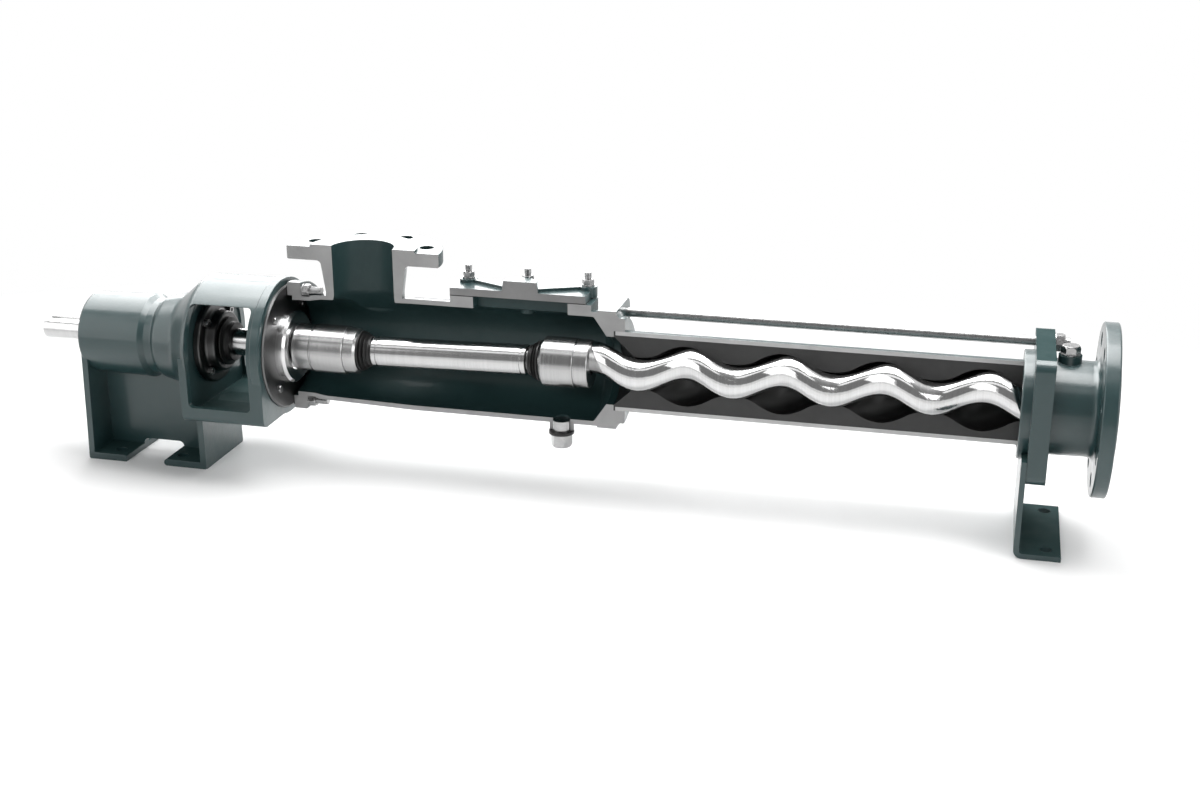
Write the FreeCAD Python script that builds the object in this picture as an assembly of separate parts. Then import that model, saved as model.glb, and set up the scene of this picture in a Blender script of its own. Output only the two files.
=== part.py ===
import FreeCAD, Part
import os
import math

# Progressive cavity pump, cut open along its length on the near side.
# Everything is drawn about the pump axis: x runs along the pump from the
# centre line of the suction nozzle towards the discharge, y goes away from
# the viewer, z goes up.  save() moves each piece to the shared frame, which
# has its origin at the bottom centre of the whole pump.

os.makedirs("parts", exist_ok=True)
V = FreeCAD.Vector
BIG = 1500.0

# Sizes in millimetres.
AXIS_HEIGHT = 160.0
CLEAR = 0.35
FIT = 0.05

# eccentric screw
ECC = 9.0
ROTOR_R = 19.4
ROTOR_PITCH = 116.0
SLOT_CLEAR = 0.35
ORBIT_DEG = 116.0
CREST_DEG = 64.0
CREST_AT = 89.0
SCREW_SIGN = 1.0
GUIDE_R = 50.0

# ring flanges of both ports
FLANGE_R = 100.0
FLANGE_T = 20.0
FLANGE_FACE_R = 69.0
FLANGE_FACE_H = 3.0
FLANGE_HOLES = 8
FLANGE_HOLE_R = 9.0
FLANGE_PCD_R = 80.0
PORT_R = 40.0

# drive shaft and its bearings
SHAFT_TIP_X = -449.0
SHAFT_END_R = 14.0
SHAFT_SEAL_R = 15.0
SHAFT_R = 17.5
SHAFT_SHOULDER_R = 21.0
KEYWAY_W = 8.0
KEYWAY_DEPTH = 4.0
KEYWAY_LEN = 50.0
KEYWAY_START = 6.0
BEARING_R = 36.0
BEARING_W = 17.0
BEARING_GAP = 82.0
BEARING_START = 18.0
SPACER_T = 3.5
SHIM_T = 4.0
SHAFT_STEP_BACK = 5.0
SHAFT_CENTRE_R = 4.2
SHAFT_CENTRE_LEN = 22.0
SHAFT_EDGE = 1.0
LOCKNUT_R = 25.0
LOCKNUT_T = 8.0
LOCKNUT_SLOT_R = 2.6
CIRCLIP_T = 2.0
CIRCLIP_H = 2.6
SEAL_T = 7.0
SEAL_INSET = 1.0
FRONT_SEAL_R = 24.0
REAR_SEAL_R = 26.0
BALL_R = 5.4
BALLS = 9
RACE_GAP = 0.3
RACE_EDGE = 2.6
CAGE_HALF_W = 6.8
CAGE_HALF_T = 1.7
POCKET_GAP = 0.05

# bearing cover and slinger
COVER_HUB_R = 38.0
COVER_HUB_LEN = 22.0
COVER_HUB_BORE = 7.0
COVER_RING_R = 54.0
COVER_RING_T = 9.0
COVER_BOLT_PCD_R = 45.0
COVER_BOLTS = 4
SCREW_R = 3.0
SCREW_GRIP = 12.0
SOCKET_HEAD_R = 5.0
SOCKET_HEAD_H = 5.0
SOCKET_AF = 5.0
SOCKET_HEAD_GAP = 0.3
SLINGER_GAP = 2.0
SLINGER_R = 31.0
SLINGER_RIM_T = 1.6
SLINGER_HUB_H = 7.5
SLINGER_LEN = 10.0

# bearing bracket
BRACKET_X = -376.0
HOUSING_R = 52.0
HOUSING_R_BACK = 54.0
HOUSING_NECK_R = 49.5
FRONT_WALL = 10.0
LEG_T = 8.0
LEG_HALF_W = 53.0
LEG_TOP_HALF_W = 45.0
FOOT_T = 9.0
FOOT_LEN_FRONT = 54.0
FOOT_LEN_BACK = 60.0
FOOT_HOLE_R = 7.0
FOOT_HOLE_Y = 34.0
FOOT_HOLE_IN = 17.0
WEB_T = 10.0
ARCH_H = 7.0
ARCH_R = 7.0
GROOVE_X = 92.0
GROOVE_W = 10.0
GROOVE_EDGE = 6.0
SHOULDER_X = 136.0
BRACKET_LEN = 269.0
LANTERN_R = 86.0
LANTERN_WALL = 8.0
LANTERN_RIM_R = 88.0
LANTERN_RIM_T = 12.0
LANTERN_CORNER_R = 10.0
LANTERN_HALF_W = 84.0
LANTERN_BOTTOM = 84.0
LANTERN_WALL_AT = 164.0
WINDOW_TOP = 64.0
WINDOW_BOTTOM = 64.0
WINDOW_CORNER_R = 6.0
RECESS_GAP = 0.1
RECESS_DEPTH = 9.0
LIP_T = 10.0
LIP_BORE_R = 48.0

# shaft seal
SEAL_COVER_R = 79.0
SEAL_COVER_T = 12.0
SEAL_COVER_EDGE = 1.5
SEAL_COVER_BORE_R = 36.0
SEAL_SEAT_R = 47.0
SEAL_SEAT_TIP_R = 43.0
SEAL_SEAT_BEVEL = 3.0
SEAL_SEAT_LEN = 12.0
SEAL_SEAT_BORE_R = 30.0
SEAL_RING_R = 27.0
SEAL_RING_LEN = 9.0
SEAL_BOLT_PCD_R = 61.0
SEAL_BOLT_DEG = 43.0
SEAL_BOLT_AF = 9.0
SEAL_BOLT_H = 4.0
SEAL_SLEEVE_H = 4.5
SEAL_SLEEVE_OUT = 6.0

# suction casing
CASING_LEN = 437.0
CASING_FLANGE_R = 84.0
CASING_FLANGE_T = 19.0
CASING_RECESS_R = 66.8
CASING_RECESS_LEN = 6.0
CASING_RING_T = 1.0
CASING_MOUTH_R = 61.0
CASING_NECK_R = 64.0
CASING_BORE_R = 67.0
CASING_WALL = 6.0
CASING_FULL_AT = 163.0
CASING_FULL_ROUND = 60.0
CASING_CONE_BACK = 39.0
CASING_LIP_BACK = 23.0
CASING_LIP_R = 43.5
SOCKET_DEPTH = 14.0
BLOCK_HALF = 75.0
BLOCK_CORNER_R = 14.0
BLOCK_LEN = 35.0
HUB_R = 67.0
HUB_LEN = 11.0
HUB_COVE_R = 7.0
HUB_EDGE = 1.5
NECK_R = 51.0
NECK_TOP_R = 56.0
NECK_FILLET = 6.0
NECK_STRAIGHT_Z = 78.0
NOZZLE_FOOT_Z = 20.0
PORT_FLARE_LOW_Z = 42.0
PORT_FLARE_TOP_Z = 68.0
PORT_FLARE_ROUND = 18.0
SUCTION_FACE_Z = 134.5
STUD_PCD_R = 73.0
STUD_FIRST_DEG = 5.0
STUD_STEP_DEG = 42.5
STUD_COUNT = 5
STUD_R = 5.0
STUD_TAIL = 15.0
STUD_NUT_AF = 15.0
STUD_NUT_H = 8.0
STUD_WASHER_R = 8.4
SPOT_GAP = 0.5
WASHER_T = 2.0

# inspection opening, its cover and the drain
PAD_BACK = 221.0
PAD_LEN = 179.0
PAD_TOP = 81.0
PAD_HALF_W = 48.0
PAD_LOW = 45.0
HATCH_RIM = 29.5
HATCH_LOW = 30.0
HATCH_OFF = 0.2
HATCH_CORNER_R = 10.0
HATCH_HALF_W = 25.0
PAD_CORNER_R = 14.0
GASKET_T = 1.2
COVER_T = 9.0
COVER_SHORT = 7.0
COVER_BOSS_R = 23.0
COVER_BOSS_TIP_R = 21.0
COVER_BOSS_H = 13.0
COVER_LUG_R = 11.5
COVER_LUG_H = 4.0
COVER_RIB_W = 5.0
COVER_RIB_H = 3.6
COVER_STUD_IN = 13.0
COVER_STUD_IN_Y = 12.0
COVER_STUD_R = 4.0
COVER_NUT_AF = 13.0
COVER_NUT_H = 6.5
COVER_STUD_TAIL = 8.5
COVER_WASHER_R = 8.0
STUD_BOSS_R = 9.5
STUD_BOSS_Z = 56.0
COVER_STUD_DEPTH = 16.0
DRAIN_BACK = 80.0
DRAIN_BOSS_R = 15.5
DRAIN_BOSS_Z = 82.0
DRAIN_R = 11.0
DRAIN_SHANK = 13.5
DRAIN_RING_R = 15.9
DRAIN_RING_T = 3.5
DRAIN_AF = 24.0
DRAIN_HEAD = 17.0

# stator
STATOR_R = 50.8
STATOR_WALL = 5.0
STATOR_LEN = 490.0
LINING_LIP_T = 2.2
FUNNEL_R = 44.0
FUNNEL_LEN = 26.0

# discharge casing, its support foot and the tie rods
COLLAR_R = 63.0
COLLAR_T = 11.8
TUBE_GRIP = 11.0
PLATE_HALF = 73.0
PLATE_T = 21.7
PLATE_CORNER_R = 12.0
OUTLET_R = 54.5
OUTLET_FILLET = 8.0
OUTLET_GAP = 50.5
OUTLET_CHAMBER_R = 44.0
OUTLET_TAPER = 16.0
TIE_ROD_R = 6.0
TIE_ROD_OFF = 58.5
TIE_ROD_NUT_AF = 19.0
TIE_ROD_NUT_H = 10.0
TIE_ROD_TAIL = 6.0
TIE_ROD_GRIP = 34.0
TIE_ROD_WASHER_R = 11.0
SUPPORT_T = 6.3
SUPPORT_HALF_W = 75.0
SUPPORT_TOP = 43.0
SUPPORT_LEN = 53.0
SUPPORT_BEND_R = 10.0
SUPPORT_HOLE_R = 7.0
SUPPORT_HOLE_Y = 57.0
SUPPORT_HOLE_IN = 17.0
GAUGE_OFF = 16.5
GAUGE_DEPTH = 14.0
GAUGE_BOSS_R = 13.0
GAUGE_BOSS_Z = 63.0
GAUGE_R = 6.5
GAUGE_AF = 19.0
GAUGE_HEAD = 9.0

# joints between shaft, coupling rod and rotor
HEAD_OUT = 12.0
HEAD_R = 29.8
HEAD_BORE_R = 20.5
HEAD_WALL = 10.0
DRIVE_HEAD_LEN = 85.0
SLEEVE_T = 0.9
DRIVE_SLEEVE_AT = 26.0
SLEEVE_LEN = 43.0
DRIVE_PIN_AT = 48.0
ROTOR_HEAD_BACK = 102.0
ROTOR_HEAD_LEN = 62.0
ROTOR_HEAD_CAVITY = 42.0
ROTOR_PIN_AT = 18.0
ROTOR_SLEEVE_LEN = 40.0
PIN_R = 7.0
BUSH_R = 10.5
BUSH_BORE_R = 7.9
ROD_R = 16.0
ROD_END_R = 16.5
ROD_END_HALF = 15.0
ROD_MID_R = 19.0
ROD_MID_EDGE = 2.0
ROD_LINE_AT = 7.0
ROD_LINE_W = 1.6
ROD_LINE_H = 1.2
BOOT_LEN = 16.0
BOOT_R = 25.0
BOOT_NECK_R = 19.0
BOOT_T = 1.6
BOOT_RIBS = 3
BOOT_RIM = 3.0
BOOT_RIB_H = 3.0
ROTOR_STUB_R = 13.0
ROTOR_STUB_LEN = 13.0
ROTOR_OUT = 3.0
HEAD_EDGE = 2.0
HEAD_STEP = 1.2
HEAD_NOSE = 3.0
HEAD_NOSE_H = 4.0
SLEEVE_EDGE = 0.8
PIN_GAP = 0.3

# Places that follow from the sizes.
BRACKET_END = BRACKET_X + BRACKET_LEN
RECESS_X = BRACKET_END - RECESS_DEPTH
SEAL_FACE_X = RECESS_X + SEAL_COVER_T
CASING_X = SEAL_FACE_X + CASING_RING_T
CASING_END_X = CASING_X + CASING_LEN
LANTERN_WALL_X = BRACKET_X + LANTERN_WALL_AT
CASING_FULL_X = CASING_X + CASING_FULL_AT
CASING_CONE_X = CASING_END_X - CASING_CONE_BACK
CASING_LIP_X = CASING_END_X - CASING_LIP_BACK
PAD_X = CASING_END_X - PAD_BACK
HATCH_LEN = PAD_LEN - 2.0 * HATCH_RIM
COVER_STUD_PITCH = PAD_LEN / 2.0 - COVER_STUD_IN
COVER_STUD_Y = PAD_HALF_W - COVER_STUD_IN_Y
DRAIN_X = CASING_END_X - DRAIN_BACK
HEAD_X = CASING_X + HEAD_OUT
DRIVE_SLEEVE_X = HEAD_X + DRIVE_SLEEVE_AT
DRIVE_PIN_X = HEAD_X + DRIVE_PIN_AT
ROTOR_HEAD_X = CASING_END_X - ROTOR_HEAD_BACK
ROTOR_PIN_X = ROTOR_HEAD_X + ROTOR_PIN_AT
STATOR_X = CASING_END_X - SOCKET_DEPTH
CREST_X = STATOR_X + CREST_AT
STATOR_END_X = STATOR_X + STATOR_LEN
COLLAR_X = STATOR_END_X - TUBE_GRIP
PLATE_X = COLLAR_X + COLLAR_T
PLATE_END_X = PLATE_X + PLATE_T
OUTLET_FACE_X = PLATE_END_X + OUTLET_GAP + FLANGE_T
GAUGE_X = PLATE_END_X + GAUGE_OFF
ROTOR_END_X = STATOR_END_X + ROTOR_OUT
ORBIT = math.radians(ORBIT_DEG)
ROD_LEAN = ECC / (ROTOR_PIN_X - DRIVE_PIN_X)
ROTOR_Y = ECC * math.cos(ORBIT)
ROTOR_Z = ECC * math.sin(ORBIT)
SLOT_R = ROTOR_R + SLOT_CLEAR
FLOOR = -AXIS_HEIGHT
SHIFT = V(-(SHAFT_TIP_X + OUTLET_FACE_X) / 2.0, 0, AXIS_HEIGHT)


def corner_path(points, place):
    """closed wire through points (a, b) or (a, b, corner radius)"""
    marks = []
    count = len(points)
    for i in range(count):
        p = points[i]
        here = V(p[0], p[1], 0)
        radius = p[2] if len(p) > 2 else 0.0
        if radius <= 0.0:
            marks.append((here, here, here))
            continue
        q = points[i - 1]
        s = points[(i + 1) % count]
        back = V(q[0], q[1], 0) - here
        ahead = V(s[0], s[1], 0) - here
        back.normalize()
        ahead.normalize()
        half = back.getAngle(ahead) / 2.0
        run = radius / math.tan(half)
        aim = back + ahead
        aim.normalize()
        middle = here + aim * (radius / math.sin(half) - radius)
        marks.append((here + back * run, middle, here + ahead * run))
    edges = []
    for i in range(count):
        first, middle, last = marks[i]
        if (last - first).Length > 1e-6:
            edges.append(Part.Arc(place(first), place(middle), place(last)).toShape())
        following = marks[(i + 1) % count][0]
        if (following - last).Length > 1e-6:
            edges.append(Part.makeLine(place(last), place(following)))
    return Part.Wire(edges)


def turned(points):
    """solid of revolution about the pump axis from (x, r) points"""
    wire = corner_path(points, lambda v: V(v.x, 0, v.y))
    return Part.Face(wire).revolve(V(0, 0, 0), V(1, 0, 0), 360)


def turned_up(points):
    """solid of revolution about the nozzle axis from (r, z) points"""
    wire = corner_path(points, lambda v: V(v.x, 0, v.y))
    return Part.Face(wire).revolve(V(0, 0, 0), V(0, 0, 1), 360)


def slab_x(points, x0, x1):
    """outline in y and z pushed along x"""
    wire = corner_path(points, lambda v: V(x0, v.x, v.y))
    return Part.Face(wire).extrude(V(x1 - x0, 0, 0))


def slab_y(points, y0, y1):
    """outline in x and z pushed along y"""
    wire = corner_path(points, lambda v: V(v.x, y0, v.y))
    return Part.Face(wire).extrude(V(0, y1 - y0, 0))


def slab_z(points, z0, z1):
    """outline in x and y pushed along z"""
    wire = corner_path(points, lambda v: V(v.x, v.y, z0))
    return Part.Face(wire).extrude(V(0, 0, z1 - z0))


def bar_x(x0, x1, r, y=0.0, z=0.0):
    return Part.makeCylinder(r, x1 - x0, V(x0, y, z), V(1, 0, 0))


def bar_y(x, z, y0, y1, r):
    return Part.makeCylinder(r, y1 - y0, V(x, y0, z), V(0, 1, 0))


def bar_z(x, y, z0, z1, r):
    return Part.makeCylinder(r, z1 - z0, V(x, y, z0), V(0, 0, 1))


def ring_x(x0, x1, outer, inner, y=0.0, z=0.0):
    return bar_x(x0, x1, outer, y, z).cut(bar_x(x0 - 1, x1 + 1, inner, y, z))


def ring_z(x, y, z0, z1, outer, inner):
    return bar_z(x, y, z0, z1, outer).cut(bar_z(x, y, z0 - 1, z1 + 1, inner))


def block(x0, x1, y0, y1, z0, z1):
    return Part.makeBox(x1 - x0, y1 - y0, z1 - z0, V(x0, y0, z0))


def rounded_box_points(a0, a1, b0, b1, radius):
    return [(a0, b0, radius), (a1, b0, radius), (a1, b1, radius), (a0, b1, radius)]


def hexagon(across):
    corner = across / math.sqrt(3.0)
    return [(corner * math.cos(math.radians(60 * k)), corner * math.sin(math.radians(60 * k)))
            for k in range(6)]


def hex_x(x0, x1, across, y, z):
    body = slab_x(hexagon(across), x0, x1)
    body.translate(V(0, y, z))
    return body


def hex_z(z0, z1, across, x, y):
    body = slab_z(hexagon(across), z0, z1)
    body.translate(V(x, y, 0))
    return body


def nut_x(x0, height, across, hole, y, z):
    """six sided nut with its outer corners turned off"""
    end = x0 + height
    corner = across / math.sqrt(3.0)
    dome = turned([(x0, 0), (x0, corner), (end - 0.28 * corner, corner),
                   (end, across / 2.0 - 0.2), (end, 0)])
    dome.translate(V(0, y, z))
    body = hex_x(x0, end, across, y, z).common(dome)
    if hole > 0:
        body = body.cut(bar_x(x0 - 1, end + 1, hole, y, z))
    return body


def nut_z(z0, height, across, hole, x, y):
    end = z0 + height
    corner = across / math.sqrt(3.0)
    dome = turned_up([(0, z0), (corner, z0), (corner, end - 0.28 * corner),
                      (across / 2.0 - 0.2, end), (0, end)])
    dome.translate(V(x, y, 0))
    body = hex_z(z0, end, across, x, y).common(dome)
    if hole > 0:
        body = body.cut(bar_z(x, y, z0 - 1, end + 1, hole))
    return body


def fused(shapes):
    body = shapes[0]
    for other in shapes[1:]:
        body = body.fuse(other)
    return body.removeSplitter()


def far_half(shape):
    """what stays when the near half is cut away"""
    return shape.common(block(-BIG, BIG, 0, BIG, -BIG, BIG))


def polar(radius, degrees):
    """y and z of a point on a circle, measured from straight up towards the back"""
    turn = math.radians(degrees)
    return radius * math.sin(turn), radius * math.cos(turn)


def save(name, shapes):
    """write one node in the shared frame"""
    if not isinstance(shapes, list):
        shapes = [shapes]
    whole = Part.makeCompound(shapes) if len(shapes) > 1 else shapes[0]
    whole = whole.copy()
    whole.translate(SHIFT)
    whole.exportStep("parts/" + name + ".step")
    volume = sum(s.Volume for s in whole.Solids)
    print(name, "solids", len(whole.Solids), "faces", len(whole.Faces), "volume", round(volume),
          "" if whole.isValid() else "NOT VALID")


# Screw geometry shared by the rotor and the stator lining.
def screw_angle(x):
    return CREST_DEG + SCREW_SIGN * 360.0 * (x - CREST_X) / ROTOR_PITCH


def twisted(wire, x0, length, pitch, start_deg):
    """outline in the plane x = x0 carried along x while it turns once per pitch"""
    guide = Part.makeHelix(pitch, length, GUIDE_R, 0, SCREW_SIGN < 0)
    guide = Part.Wire(guide.Edges)
    turn = FreeCAD.Placement(V(0, 0, 0), FreeCAD.Rotation(V(0, 0, 1), start_deg))
    lay = FreeCAD.Rotation(FreeCAD.Matrix(0, 0, 1, 0, 1, 0, 0, 0, 0, 1, 0, 0, 0, 0, 0, 1))
    guide.Placement = FreeCAD.Placement(V(x0, 0, 0), lay).multiply(turn)
    spine = Part.Wire(Part.makeLine(V(x0, 0, 0), V(x0 + length, 0, 0)))
    shell = Part.BRepOffsetAPI.MakePipeShell(spine)
    shell.setAuxiliarySpine(guide, True, 0)
    shell.add(wire, False, False)
    shell.build()
    shell.makeSolid()
    return shell.shape()


def screw_bar(x0, x1):
    """round bar whose centre runs round a helix, the working part of the rotor"""
    start = screw_angle(x0)
    turn = math.radians(start)
    centre = V(x0, ECC * math.cos(turn), ECC * math.sin(turn))
    ring = Part.Wire(Part.makeCircle(ROTOR_R, centre, V(1, 0, 0)))
    return twisted(ring, x0, x1 - x0, ROTOR_PITCH, start)


def slot_bar(x0, x1):
    """long round-ended slot that turns half as fast, the hollow of the stator"""
    start = (screw_angle(x0) + ORBIT_DEG) / 2.0
    turn = math.radians(start)
    along = V(0, math.cos(turn), math.sin(turn))
    across = V(0, -math.sin(turn), math.cos(turn)) * SLOT_R
    mid = V(x0, 0, 0)
    far = mid + along * (2 * ECC)
    near = mid - along * (2 * ECC)
    cap = along * SLOT_R
    outline = Part.Wire([Part.Arc(far + across, far + cap, far - across).toShape(),
                         Part.makeLine(far - across, near - across),
                         Part.Arc(near - across, near - cap, near + across).toShape(),
                         Part.makeLine(near + across, far + across)])
    return twisted(outline, x0, x1 - x0, 2 * ROTOR_PITCH, start)


# Bearing positions.
FRONT_BEARING_X = BRACKET_X + BEARING_START
REAR_BEARING_X = FRONT_BEARING_X + BEARING_W + BEARING_GAP
REAR_BEARING_END = REAR_BEARING_X + BEARING_W
BALL_PITCH_R = (SHAFT_R + BEARING_R) / 2.0 + 0.1
BEARING_MIDS = [FRONT_BEARING_X + BEARING_W / 2.0, REAR_BEARING_X + BEARING_W / 2.0]

# Bearing bracket: housing, lantern, two feet and a web.
LEG_BACK_X = LANTERN_WALL_X - 4.0
FOOT_FRONT_END = BRACKET_X + FOOT_LEN_FRONT
FOOT_BACK_X = LEG_BACK_X + LEG_T - FOOT_LEN_BACK
FOOT_BACK_END = LEG_BACK_X + LEG_T
RIM_X = BRACKET_END - LANTERN_RIM_T
LIP_X = RECESS_X - LIP_T
OUTER_WALL_X = LANTERN_WALL_X - LANTERN_WALL
SEAL_BOLT_TURNS = [SEAL_BOLT_DEG, 180.0 - SEAL_BOLT_DEG, 180.0 + SEAL_BOLT_DEG,
                   360.0 - SEAL_BOLT_DEG]

GROOVE_START = BRACKET_X + GROOVE_X
bracket_skin = turned([
    (BRACKET_X, 0), (BRACKET_X, HOUSING_R, 4), (GROOVE_START - GROOVE_EDGE, HOUSING_R_BACK),
    (GROOVE_START, HOUSING_NECK_R), (GROOVE_START + GROOVE_W, HOUSING_NECK_R, 5),
    (GROOVE_START + GROOVE_W + GROOVE_EDGE, HOUSING_R_BACK, 12),
    (BRACKET_X + SHOULDER_X, HOUSING_R_BACK + 6, 20), (LANTERN_WALL_X + 2, LANTERN_R, 16),
    (RIM_X, LANTERN_R), (RIM_X, LANTERN_RIM_R, 1.5), (BRACKET_END, LANTERN_RIM_R, 1.5),
    (BRACKET_END, 0)])
lantern_box = slab_x([(-LANTERN_HALF_W, 0), (LANTERN_HALF_W, 0),
                      (LANTERN_HALF_W, -LANTERN_BOTTOM, LANTERN_CORNER_R),
                      (-LANTERN_HALF_W, -LANTERN_BOTTOM, LANTERN_CORNER_R)],
                     OUTER_WALL_X + 2, BRACKET_END)
leg_front = slab_x([(-LEG_HALF_W, FLOOR, 3), (LEG_HALF_W, FLOOR, 3),
                    (LEG_TOP_HALF_W, 0), (-LEG_TOP_HALF_W, 0)], BRACKET_X, BRACKET_X + LEG_T)
leg_back = slab_x([(-LEG_HALF_W, FLOOR, 3), (LEG_HALF_W, FLOOR, 3),
                   (LEG_HALF_W, -WINDOW_BOTTOM - 10), (-LEG_HALF_W, -WINDOW_BOTTOM - 10)],
                  LEG_BACK_X, LEG_BACK_X + LEG_T)
foot_front = slab_y([(BRACKET_X, FLOOR, 2), (BRACKET_X, FLOOR + FOOT_T),
                     (FOOT_FRONT_END, FLOOR + FOOT_T, 3), (FOOT_FRONT_END, FLOOR, 1)],
                    -LEG_HALF_W, LEG_HALF_W)
foot_back = slab_y([(FOOT_BACK_X, FLOOR, 4.2), (FOOT_BACK_X, FLOOR + FOOT_T, 4.2),
                    (FOOT_BACK_END, FLOOR + FOOT_T), (FOOT_BACK_END, FLOOR, 2)],
                   -LEG_HALF_W, LEG_HALF_W)
web = slab_y([(BRACKET_X + 2, FLOOR + 2), (FOOT_FRONT_END, FLOOR + 2),
              (FOOT_FRONT_END, FLOOR + FOOT_T + ARCH_H, ARCH_R),
              (FOOT_BACK_X + 4, FLOOR + FOOT_T + ARCH_H, ARCH_R), (FOOT_BACK_X + 4, FLOOR + 4),
              (LEG_BACK_X + 4, FLOOR + 4), (LEG_BACK_X + 4, -HOUSING_R + 8),
              (BRACKET_X + 2, -HOUSING_R + 8)], -WEB_T / 2.0, WEB_T / 2.0)
lantern_hollow = turned([
    (LANTERN_WALL_X, 0), (LANTERN_WALL_X, LANTERN_R - LANTERN_WALL, 12),
    (LIP_X, LANTERN_R - LANTERN_WALL, 6), (LIP_X, 0)])
box_hollow = slab_x([(-LANTERN_HALF_W + LANTERN_WALL, -6), (LANTERN_HALF_W - LANTERN_WALL, -6),
                     (LANTERN_HALF_W - LANTERN_WALL, -LANTERN_BOTTOM + LANTERN_WALL, 6),
                     (-LANTERN_HALF_W + LANTERN_WALL, -LANTERN_BOTTOM + LANTERN_WALL, 6)],
                    LANTERN_WALL_X, LIP_X)
windows = slab_y(rounded_box_points(LANTERN_WALL_X + 4, LIP_X + 2, -WINDOW_BOTTOM, WINDOW_TOP,
                                    WINDOW_CORNER_R),
                 -LANTERN_R - 20, LANTERN_R + 20)
bracket = fused([bracket_skin, lantern_box, leg_front, leg_back, foot_front, foot_back, web])
bracket = bracket.cut(lantern_hollow).cut(box_hollow).cut(windows)
bracket = bracket.cut(bar_x(BRACKET_X - 1, BRACKET_X + FRONT_WALL + 1, FRONT_SEAL_R))
bracket = bracket.cut(bar_x(BRACKET_X + FRONT_WALL, LANTERN_WALL_X + 1, BEARING_R + FIT))
bracket = bracket.cut(bar_x(LIP_X - 1, BRACKET_END, LIP_BORE_R))
bracket = bracket.cut(bar_x(RECESS_X, BRACKET_END + 1, SEAL_COVER_R + RECESS_GAP))
for hole_x in (FOOT_FRONT_END - FOOT_HOLE_IN, FOOT_BACK_X + FOOT_HOLE_IN):
    for hole_y in (-FOOT_HOLE_Y, FOOT_HOLE_Y):
        bracket = bracket.cut(bar_z(hole_x, hole_y, FLOOR - 1, FLOOR + FOOT_T + 1, FOOT_HOLE_R))
for k in range(STUD_COUNT):
    y, z = polar(STUD_PCD_R, STUD_FIRST_DEG + k * STUD_STEP_DEG)
    bracket = bracket.cut(bar_x(LIP_X + 1, BRACKET_END + 1, STUD_R + FIT, y, z))
for turn in SEAL_BOLT_TURNS:
    y, z = polar(SEAL_BOLT_PCD_R, turn)
    bracket = bracket.cut(bar_x(LIP_X + 1, RECESS_X + 1, SCREW_R + FIT, y, z))
for k in range(COVER_BOLTS):
    y, z = polar(COVER_BOLT_PCD_R, (k + 0.5) * 360.0 / COVER_BOLTS)
    bracket = bracket.cut(bar_x(LANTERN_WALL_X - SCREW_GRIP - 1, LANTERN_WALL_X + 1,
                                SCREW_R + FIT, y, z))
save("bearing_bracket", bracket)

# Bearing parts that stay still.
groove = []
for mid in BEARING_MIDS:
    groove.append(Part.makeTorus(BALL_PITCH_R, BALL_R + RACE_GAP, V(mid, 0, 0), V(1, 0, 0)))
outer_rings = []
inner_rings = []
for mid, cut_torus in zip(BEARING_MIDS, groove):
    left = mid - BEARING_W / 2.0
    right = mid + BEARING_W / 2.0
    outer = ring_x(left, right, BEARING_R, BALL_PITCH_R + RACE_EDGE)
    inner = ring_x(left, right, BALL_PITCH_R - RACE_EDGE, SHAFT_R)
    outer_rings.append(outer.cut(cut_torus))
    inner_rings.append(inner.cut(cut_torus))
save("bearing_outer_rings", outer_rings)
save("bearing_spacer", ring_x(FRONT_BEARING_X + BEARING_W, REAR_BEARING_X, BEARING_R,
                              BEARING_R - SPACER_T))
front_spacer_x = BRACKET_X + FRONT_WALL
save("bearing_shim", ring_x(front_spacer_x, FRONT_BEARING_X, BEARING_R, BEARING_R - SHIM_T))

cover_end = LANTERN_WALL_X + COVER_HUB_LEN
bearing_cover = turned([
    (REAR_BEARING_END, BEARING_R - COVER_HUB_BORE), (REAR_BEARING_END, BEARING_R),
    (LANTERN_WALL_X, BEARING_R), (LANTERN_WALL_X, COVER_RING_R, 1.5),
    (LANTERN_WALL_X + COVER_RING_T, COVER_RING_R, 3),
    (LANTERN_WALL_X + COVER_RING_T, COVER_HUB_R + 2, 4), (cover_end, COVER_HUB_R, 3),
    (cover_end, REAR_SEAL_R), (cover_end - SEAL_T, REAR_SEAL_R),
    (cover_end - SEAL_T, BEARING_R - COVER_HUB_BORE)])
cover_bolts = []
ring_face = LANTERN_WALL_X + COVER_RING_T
head_end = ring_face + SOCKET_HEAD_H
for k in range(COVER_BOLTS):
    y, z = polar(COVER_BOLT_PCD_R, (k + 0.5) * 360.0 / COVER_BOLTS)
    bearing_cover = bearing_cover.cut(bar_x(LANTERN_WALL_X - 1, ring_face + 1, SCREW_R + FIT, y, z))
    bearing_cover = bearing_cover.cut(bar_x(ring_face, cover_end, SOCKET_HEAD_R + SOCKET_HEAD_GAP,
                                            y, z))
    head = bar_x(ring_face, head_end, SOCKET_HEAD_R, y, z)
    head = head.cut(hex_x(ring_face + SOCKET_HEAD_H / 2.0, head_end + 1, SOCKET_AF, y, z))
    cover_bolts.append(head.fuse(bar_x(LANTERN_WALL_X - SCREW_GRIP, ring_face, SCREW_R, y, z)))
save("bearing_cover", bearing_cover)
save("bearing_cover_bolts", cover_bolts)

front_seal_x = BRACKET_X + SEAL_INSET
front_seal = ring_x(front_seal_x, front_seal_x + SEAL_T, FRONT_SEAL_R, SHAFT_SEAL_R + CLEAR)
rear_seal = ring_x(cover_end - SEAL_T, cover_end, REAR_SEAL_R, SHAFT_R + CLEAR)
save("shaft_lip_seals", [front_seal, rear_seal])

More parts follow.
